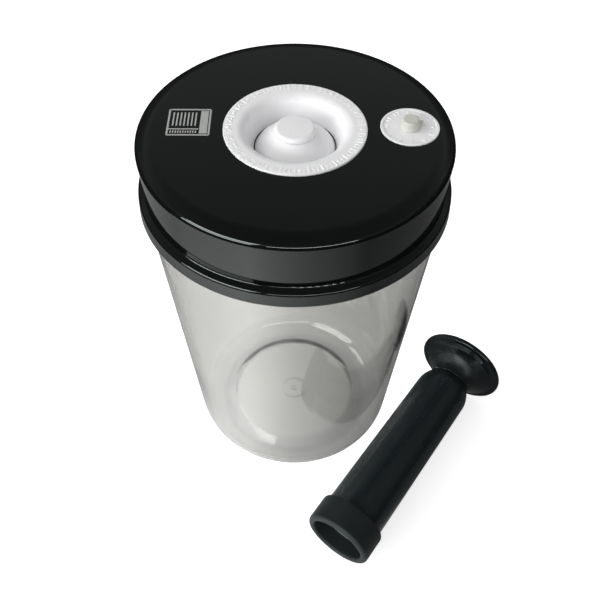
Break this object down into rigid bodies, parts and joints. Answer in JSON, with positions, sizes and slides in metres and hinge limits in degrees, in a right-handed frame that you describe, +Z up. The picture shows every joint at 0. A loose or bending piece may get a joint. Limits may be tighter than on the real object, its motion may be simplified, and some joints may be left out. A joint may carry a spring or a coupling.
{
  "type": "vacuum seal canister",
  "caption": "Clear tapered canister with a black vacuum lid, turning day dial, month dial, valve knob and a separate hand pump.",
  "frame": {"origin": "middle of the canister's base, on the surface that it stands on", "axes": "+Z up the canister's axis, +X towards the month dial, +Y away from the pump's mouth"},
  "size_m": [0.1934, 0.1877, 0.2098],
  "materials": {
    "clear_plastic": "clear, polished",
    "black_gloss": "glossy black",
    "black_matte": "fine satin black",
    "black_rubber": "soft matte black",
    "white_plastic": "satin white",
    "cream_plastic": "satin cream",
    "silicone": "translucent milky silicone",
    "grey_plastic": "moulded dark grey",
    "steel": "turned",
    "spring_steel": "stamped"
  },
  "bodies": {
    "canister": {"canister_body": "clear_plastic"},
    "lid": {"lid_base": "grey_plastic", "lid_gasket": "silicone", "lid_cover": "black_gloss", "dome_seal": "silicone", "valve_dome": "white_plastic", "month_scale": "white_plastic"},
    "dial": {"day_dial": "white_plastic", "dial_retainer": "spring_steel"},
    "pointer": {"month_pointer": "cream_plastic", "pointer_clip": "spring_steel"},
    "valve": {"valve_knob": "white_plastic", "valve_stem": "white_plastic", "valve_disc": "silicone"},
    "pump": {"pump_collar": "black_rubber", "pump_foot_plate": "grey_plastic", "inlet_valve": "silicone", "pump_barrel": "black_matte", "rod_guide": "grey_plastic"},
    "plunger": {"pump_handle": "black_gloss", "pump_rod": "steel", "pump_piston": "grey_plastic", "piston_seal": "black_rubber", "piston_valve": "silicone", "piston_nut": "steel"}
  },
  "joints": [
    {"name": "lid_lift", "type": "slide", "parent": "canister", "child": "lid", "axis": [0, 0, 1], "range_m": [0, 0.12]},
    {"name": "dial_turn", "type": "hinge", "parent": "lid", "child": "dial", "pos_m": [0, 0, 0.2], "axis": [0, 0, 1], "continuous": true},
    {"name": "month_turn", "type": "hinge", "parent": "lid", "child": "pointer", "pos_m": [0.05, 0.001, 0.2], "axis": [0, 0, 1], "continuous": true},
    {"name": "valve_lift", "type": "slide", "parent": "lid", "child": "valve", "axis": [0, 0, 1], "range_m": [0, 0.004]},
    {"name": "pump_lift", "type": "slide", "parent": "canister", "child": "pump", "axis": [0.5721, -0.4156, 0.7071], "range_m": [0, 0.15]},
    {"name": "pump_stroke", "type": "slide", "parent": "pump", "child": "plunger", "axis": [0.587, 0.808, 0.0511], "range_m": [0, 0.084]}
  ]
}
